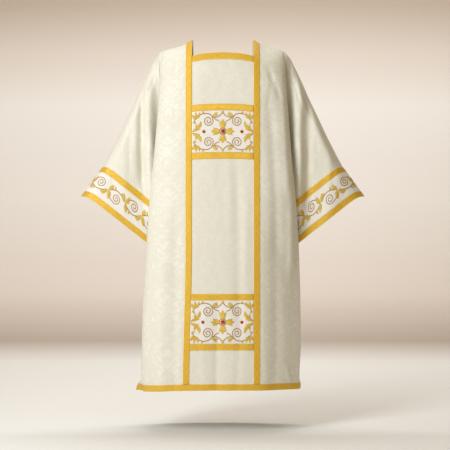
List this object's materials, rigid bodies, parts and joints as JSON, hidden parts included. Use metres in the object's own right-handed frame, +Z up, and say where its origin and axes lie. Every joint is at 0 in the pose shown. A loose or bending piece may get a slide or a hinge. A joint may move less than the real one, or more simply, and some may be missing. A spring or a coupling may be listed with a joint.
{
  "type": "dalmatic",
  "caption": "Ivory damask liturgical tunic with wide sleeves, square neck, gold braid bands and embroidered panels, hollow as worn.",
  "frame": {"origin": "midway between the shoulders at the height where they carry the garment; the open neck lies above it and the hollow body below", "axes": "+Z up along the wearer, -Y towards the front of the garment, +X towards the wearer's left"},
  "size_m": [1.002, 0.3175, 1.2352],
  "materials": {
    "ivory_damask": "ivory jacquard damask, satin figure on a matt ground",
    "gold_braid": "woven yellow gold braid with a metallic thread, satin",
    "embroidered_ground": "ivory satin ground with gold satin-stitch embroidery",
    "red_stone": "glossy cut red stone"
  },
  "bodies": {
    "root": {"back_hem_braid": "gold_braid", "back_neck_braid": "gold_braid", "back_panel": "ivory_damask", "back_upright_braid_left": "gold_braid", "back_upright_braid_right": "gold_braid", "back_vent_braid_left": "gold_braid", "back_vent_braid_right": "gold_braid", "chest_embroidered_panel": "embroidered_ground", "chest_stone_left": "red_stone", "chest_stone_middle": "red_stone", "chest_stone_right": "red_stone", "cuff_embroidered_band_left": "embroidered_ground", "cuff_embroidered_band_right": "embroidered_ground", "cuff_lower_braid_left": "gold_braid", "cuff_lower_braid_right": "gold_braid", "cuff_upper_braid_left": "gold_braid", "cuff_upper_braid_right": "gold_braid", "front_chest_low_braid": "gold_braid", "front_chest_top_braid": "gold_braid", "front_hem_braid": "gold_braid", "front_lower_low_braid": "gold_braid", "front_lower_top_braid": "gold_braid", "front_neck_braid": "gold_braid", "front_panel": "ivory_damask", "front_upright_braid_left": "gold_braid", "front_upright_braid_right": "gold_braid", "front_vent_braid_left": "gold_braid", "front_vent_braid_right": "gold_braid", "lower_embroidered_panel": "embroidered_ground", "lower_stone_left": "red_stone", "lower_stone_middle": "red_stone", "lower_stone_right": "red_stone", "sleeve_left": "ivory_damask", "sleeve_right": "ivory_damask"}
  },
  "joints": []
}
